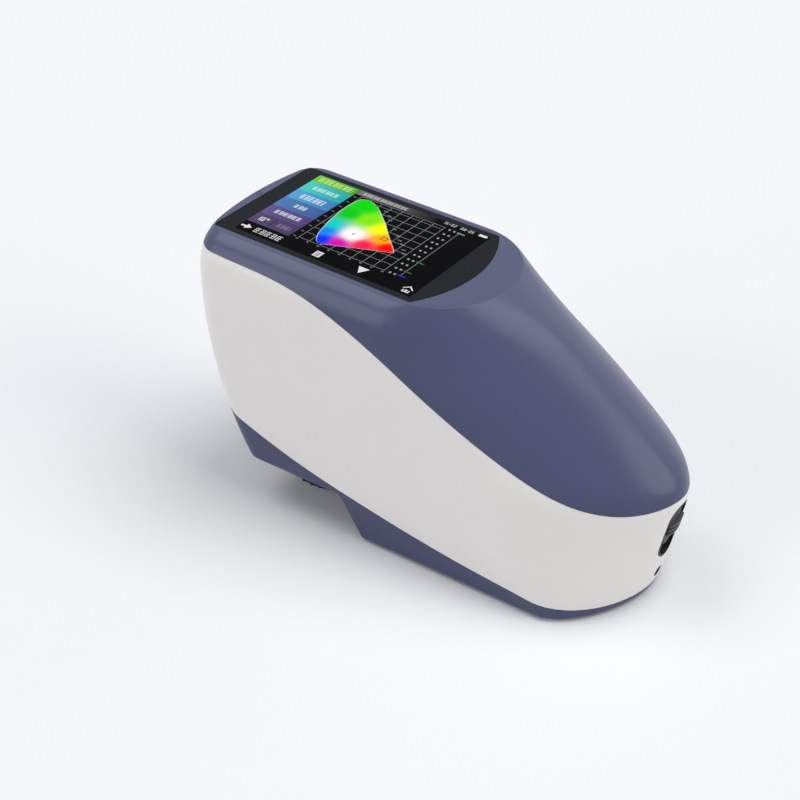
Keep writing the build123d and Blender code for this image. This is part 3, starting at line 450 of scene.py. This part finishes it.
gamut = {  # edges as height and place across, colours as place, height and light
    "left": [
        (9.5, 30.6), (10.3, 28.4), (12.5, 27.0), (15.3, 25.6), (19.6, 24.5), (23.2, 23.6),
        (27.5, 22.9), (32.5, 22.2), (37.5, 22.0), (41.8, 22.3), (44.3, 23.0), (45.2, 24.2),
        (45.6, 25.9),
    ],
    "right": [
        (9.5, 30.6), (20.3, 54.5), (22.5, 52.7), (25.0, 50.2), (28.2, 47.0), (31.1, 44.1),
        (35.0, 40.6), (38.2, 37.0), (40.9, 34.1), (43.2, 31.3), (44.8, 28.4), (45.6, 25.9),
    ],
    "colours": [
        (26.0, 33.5, (0.0, 0.62, 0.01)),
        (27.5, 41.0, (0.0, 0.72, 0.0)),
        (34.5, 33.5, (0.22, 0.85, 0.0)),
        (41.5, 30.5, (0.95, 1.0, 0.0)),
        (46.2, 25.6, (1.0, 0.42, 0.0)),
        (50.5, 21.6, (1.0, 0.0, 0.0)),
        (43.0, 17.8, (1.0, 0.01, 0.10)),
        (35.0, 13.6, (0.75, 0.0, 0.45)),
        (29.4, 12.6, (0.0, 0.03, 0.95)),
        (26.6, 18.2, (0.0, 0.25, 0.95)),
        (25.4, 23.0, (0.0, 0.66, 0.55)),
        (35.9, 21.6, (1.0, 1.0, 1.0)),
    ],
    "blur": 0.6,
    "edgeHalves": (0.16, 0.2),
    "edgeLean": 0.4,
    "edgePitch": 0.62,
    "edgeGap": 0.22,
    "edgeInk": linear(220, 224, 226),
    "cross": [(34.9, 22.15, 36.7, 22.4), (35.68, 21.4, 35.92, 23.2)],
    "crossInk": linear(40, 40, 44),
    "square": (45.2, 25.0, 47.6, 27.2),
    "squareHole": (45.5, 25.3, 47.3, 26.9),
    "squareInk": linear(60, 40, 20),
    "labels": [
        (34.4, 42.4), (37.4, 40.4), (39.4, 38.0), (44.4, 33.6), (48.2, 30.4), (50.4, 28.4),
        (52.6, 26.6), (55.2, 23.8), (56.6, 21.6),
    ],
    "label": (0.0, 0.0, 1.7, 0.5),
    "labelInk": linear(125, 127, 130),
}


def curveOf(picture, points):  # a place across the picture as it changes with height
    low, high = points[0][0], points[-1][0]
    wide = display["width"]
    stops = [((y - low) / (high - low), x / wide) for y, x in points]
    height = (picture.y - low) / (high - low)
    ramp = picture.finish.node("ShaderNodeValToRGB", {"stops": stops}, [height])
    return picture.finish.node("ShaderNodeSeparateColor", {}, [ramp]) * wide


def blendedLight(picture):  # the diagram's colours, each the stronger the nearer
    finish = picture.finish
    total, light = None, None
    for x, y, colour in gamut["colours"]:
        across, up = picture.x - x, picture.y - y
        near = 1 / (across * across + up * up + gamut["blur"])
        near = near * near
        part = finish.node("ShaderNodeVectorMath", {"operation": "SCALE"}, {0: colour, 3: near})
        if total is None:
            total, light = near, part
        else:
            total = total + near
            light = finish.node("ShaderNodeVectorMath", {"operation": "ADD"}, [light, part])
    return finish.node("ShaderNodeVectorMath", {"operation": "SCALE"}, {0: light, 3: 1 / total})


def paintGamut(picture):
    left, right = curveOf(picture, gamut["left"]), curveOf(picture, gamut["right"])
    field = picture.box(0, gamut["left"][0][0], display["width"], gamut["left"][-1][0])
    inside = picture.x.over(left) * right.over(picture.x) * field
    picture.put(inside, blendedLight(picture))
    dots = (picture.y + picture.x * gamut["edgeLean"]).wrapped(gamut["edgePitch"])
    halfLeft, halfRight = gamut["edgeHalves"]
    edge = picture.x.within(left, halfLeft).orElse(picture.x.within(right, halfRight))
    picture.put(edge * dots.over(gamut["edgeGap"]) * field, gamut["edgeInk"])
    level, upright = gamut["cross"]
    picture.put(picture.box(*level).orElse(picture.box(*upright)), gamut["crossInk"])
    picture.put(picture.ring(gamut["square"], gamut["squareHole"]), gamut["squareInk"])
    for x, y in gamut["labels"]:
        picture.put(picture.boxFrom(x, y, gamut["label"]), gamut["labelInk"])


table = {  # two columns of dots at the right, a dotted line and four short values
    "rows": 11,
    "rowDrop": 0.6,
    "rowPitch": 3.66,
    "columns": (60.9, 62.9),
    "dot": (-0.45, -0.45, 0.35, 0.45),
    "line": (64.75, 65.0),
    "ink": linear(165, 168, 170),
    "valueStart": 64.0,
    "value": (0.0, -0.3, 3.2, 0.3),
    "values": [
        (45.6, linear(150, 152, 154)),
        (20.2, linear(30, 130, 60)),
        (12.6, linear(70, 110, 20)),
        (9.2, linear(40, 50, 200)),
    ],
}


def paintTable(picture):
    low, high = grid["field"][1], grid["field"][3]
    for row in range(table["rows"]):
        y = high - table["rowDrop"] - row * table["rowPitch"]
        for x in table["columns"]:
            picture.put(picture.boxFrom(x, y, table["dot"]), table["ink"])
    start, end = table["line"]
    dots = picture.dotted(picture.y, low)
    picture.put(picture.box(start, low, end, high) * dots, table["ink"])
    for y, ink in table["values"]:
        picture.put(picture.boxFrom(table["valueStart"], y, table["value"]), ink)


def displayGlass():
    values = {"Roughness": display["roughness"], "Specular_IOR_Level": display["gloss"]}
    finish = Finish("displayGlass", **values)
    picture = Picture(finish)
    paintColumn(picture)
    paintBars(picture)
    paintGrid(picture)
    paintGamut(picture)
    paintTable(picture)
    paintIcons(picture)
    lit = picture.box(0, 0, display["width"], display["height"])
    black = (0.0, 0.0, 0.0, 1.0)
    finish.set(
        # outside the picture: dark print with a painted reflection of the surroundings
        Base_Color=finish.blend(lit, display["borderAndReflection"], display["off"]),
        Emission_Color=finish.blend(lit, black, picture.colour),
        Emission_Strength=display["glow"],
    )
    return finish.material


finishes = {
    "navyPaint": moulded(
        "navyPaint", mouldings["navy"], 0.42, gloss=0.15, coat=0.4, coatRoughness=0.24
    ),
    "warmWhite": moulded("warmWhite", mouldings["white"], 0.42, gloss=0.3, coat=0.1),
    "darkPlastic": moulded("darkPlastic", mouldings["dark"], 0.5, gloss=0.3),
    "blackPlastic": moulded("blackPlastic", mouldings["black"], 0.38, gloss=0.3, grain=0.5),
    "greyPlastic": moulded("greyPlastic", mouldings["grey"], 0.45, gloss=0.3),
    "rubber": moulded("rubber", linear(40, 40, 42), 0.75, gloss=0.3, grain=5.0),
    "displayGlass": displayGlass(),
    "steel": metal("steel", linear(190, 192, 195), 0.32),
    "blackened": metal("blackened", linear(70, 70, 74), 0.5),
    "brass": metal("brass", linear(205, 170, 95), 0.35),
    "mirror": metal("mirror", linear(235, 236, 238), 0.05, drawn=0.15),
    "boardGreen": plain("boardGreen", linear(25, 92, 58), 0.45, shade=0.35),
    "matteWhite": plain("matteWhite", linear(236, 236, 232), 0.7),
    "lensGlass": plain("lensGlass", linear(225, 238, 245), 0.03, shade=0.02, Alpha=0.4),
    "film": plain("film", linear(190, 130, 45), 0.4),
    "batteryWrap": plain("batteryWrap", linear(70, 95, 140), 0.35),
    "redWire": plain("redWire", linear(150, 30, 28), 0.45),
    "lightPipe": plain("lightPipe", linear(46, 52, 84), 0.25),
}
print("finishes made:", len(finishes))

wornBy = {
    "navyPaint": "top_cover base_cover battery_door measure_key",
    "warmWhite": "middle_casing",
    "darkPlastic": "aperture_collar nose_barrel charging_socket inner_frame lcd_tray",
    "blackPlastic": (
        "slider_frame switch_lever key_plunger board_chips power_parts line_sensor display_tape"
    ),
    "greyPlastic": "power_slider",
    "rubber": "foot_pads",
    "displayGlass": "display_glass",
    "steel": (
        "lcd_panel tray_screws long_screws short_screws board_screws door_screws nose_screws "
        "sphere_screws key_switch power_switch board_shield"
    ),
    "blackened": "optics_bench optics_lid slit_plate fold_holder lamp_housing view_tube",
    "brass": "standoffs",
    "mirror": "fold_mirror concave_mirror grating",
    "boardGreen": "switch_board socket_board key_board main_board power_board sensor_board lamp_board",
    "matteWhite": "aperture_plate sphere_lower sphere_upper board_connectors",
    "lensGlass": "lens",
    "film": "display_ribbon",
    "batteryWrap": "battery_pack",
    "redWire": "battery_lead",
    "lightPipe": "status_light lamp_leds",
}
for finishName, pieceNames in wornBy.items():
    for pieceName in pieceNames.split():
        mesh = cadNodes[pieceName].data
        mesh.materials.clear()
        mesh.materials.append(finishes[finishName])
print("finishes given to the pieces")

# Stage: pale floor and world, which show as the plain background
stage = {
    "floorSize": 6.0,
    "floorDrop": 0.02 * mm,
    "floor": linear(233, 234, 236),
    "floorRoughness": 0.9,
    "tone": linear(246, 248, 251),
    "fill": (0.92, 0.95, 1.0, 1.0),
    "fillStrength": 0.25,
}


def paleFloor():
    values = {"Roughness": stage["floorRoughness"], "Specular_IOR_Level": 0.0}
    finish = Finish("paleFloor", Base_Color=stage["floor"], **values)
    spot = (0, 0, -stage["floorDrop"])
    bpy.ops.mesh.primitive_plane_add(size=stage["floorSize"], location=spot)
    floor = bpy.context.object
    floor.name = "floor"
    floor.data.materials.append(finish.material)


def paleWorld():
    world = bpy.data.worlds.new("paleWorld")
    world.use_nodes = True
    bpy.context.scene.world = world
    tree = world.node_tree
    tree.nodes.clear()
    rays = tree.nodes.new("ShaderNodeLightPath")
    shown = tree.nodes.new("ShaderNodeBackground")
    shown.inputs[0].default_value = stage["tone"]
    shown.inputs[1].default_value = 1.0
    fill = tree.nodes.new("ShaderNodeBackground")
    fill.inputs[0].default_value = stage["fill"]
    fill.inputs[1].default_value = stage["fillStrength"]
    seen = rays.outputs["Is Camera Ray"]
    for kind in ("Is Glossy Ray", "Is Transmission Ray"):
        either = tree.nodes.new("ShaderNodeMath")
        either.operation = "MAXIMUM"
        tree.links.new(seen, either.inputs[0])
        tree.links.new(rays.outputs[kind], either.inputs[1])
        seen = either.outputs[0]
    mix = tree.nodes.new("ShaderNodeMixShader")
    out = tree.nodes.new("ShaderNodeOutputWorld")
    tree.links.new(seen, mix.inputs[0])
    tree.links.new(fill.outputs[0], mix.inputs[1])
    tree.links.new(shown.outputs[0], mix.inputs[2])
    tree.links.new(mix.outputs[0], out.inputs[0])


lamps = {  # where it comes from, how wide it looks in degrees, strength, colour
    "keyLight": ((-0.45, -0.80, 0.40), 44, 1.0, (1.0, 1.0, 1.0)),
    "topLight": ((0.30, 0.25, 0.92), 40, 1.1, (0.97, 0.99, 1.0)),
    "crestLight": ((-0.47, -0.14, 0.85), 32, 0.8, (0.97, 0.99, 1.0)),
    "farLight": ((0.25, 0.75, 0.60), 50, 0.35, (1.0, 1.0, 1.0)),
    "tailLight": ((0.90, 0.20, 0.45), 44, 1.2, (1.0, 0.98, 0.95)),
}


def softLamps():
    for name, (way, spread, strength, colour) in lamps.items():
        data = bpy.data.lights.new(name, "SUN")
        data.angle = math.radians(spread)
        data.energy = strength
        data.color = colour
        lamp = bpy.data.objects.new(name, data)
        bpy.context.collection.objects.link(lamp)
        lamp.location = way
        lamp.rotation_euler = (-Vector(way)).to_track_quat("-Z", "Y").to_euler()


cameraView = {
    "target": (0.0, 0.0, 50 * mm),
    "azimuth": 34.99,
    "elevation": 34.23,
    "distance": 575.15 * mm,
    "slide": (-19.79 * mm, -2.16 * mm),
    "focalPixels": 1603.46,
    "framePixels": 800,
    "sensor": 36.0,
    "nearest": 0.01,
    "farthest": 20.0,
}


def photoCamera():
    azimuth = math.radians(cameraView["azimuth"])
    elevation = math.radians(cameraView["elevation"])
    back = Vector((
        math.sin(azimuth) * math.cos(elevation),
        -math.cos(azimuth) * math.cos(elevation),
        math.sin(elevation),
    ))
    right = Vector((math.cos(azimuth), math.sin(azimuth), 0.0))
    up = back.cross(right)
    data = bpy.data.cameras.new("photoCamera")
    data.sensor_width = cameraView["sensor"]
    data.lens = cameraView["focalPixels"] / cameraView["framePixels"] * cameraView["sensor"]
    data.clip_start, data.clip_end = cameraView["nearest"], cameraView["farthest"]
    camera = bpy.data.objects.new("photoCamera", data)
    bpy.context.collection.objects.link(camera)
    across, rise = cameraView["slide"]
    spot = Vector(cameraView["target"]) + back * cameraView["distance"] + right * across + up * rise
    turn = Matrix((right, up, back)).transposed().to_4x4()
    camera.matrix_world = Matrix.Translation(spot) @ turn
    bpy.context.scene.camera = camera


paleFloor()
paleWorld()
softLamps()
photoCamera()
bpy.context.scene.view_settings.view_transform = "Standard"
print("stage, lamps and camera set")
